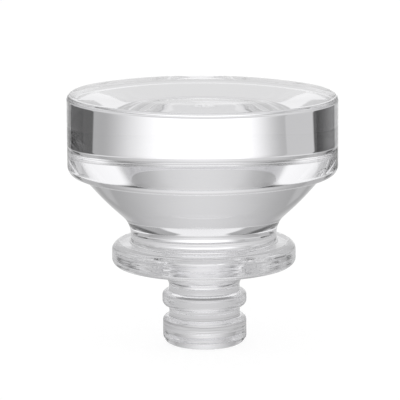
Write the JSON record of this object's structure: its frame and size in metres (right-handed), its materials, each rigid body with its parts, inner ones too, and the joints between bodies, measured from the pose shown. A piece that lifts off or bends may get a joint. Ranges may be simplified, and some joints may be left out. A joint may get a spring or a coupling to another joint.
{
  "type": "glass bottle stopper",
  "caption": "Pressed clear-glass bottle stopper: drum head, tapering bowl, lip flange and a beaded stem that takes a sealing sleeve.",
  "frame": {"origin": "centre of the stem's flat end face, the lowest point, on the stopper's axis", "axes": "+Z along the axis of symmetry, from the stem's end up to the head; X and Y are any two square directions, as the stopper is round"},
  "size_m": [0.046, 0.046, 0.0437],
  "materials": {
    "clear_glass": "fire-polished"
  },
  "bodies": {
    "root": {"stopper": "clear_glass"}
  },
  "joints": []
}
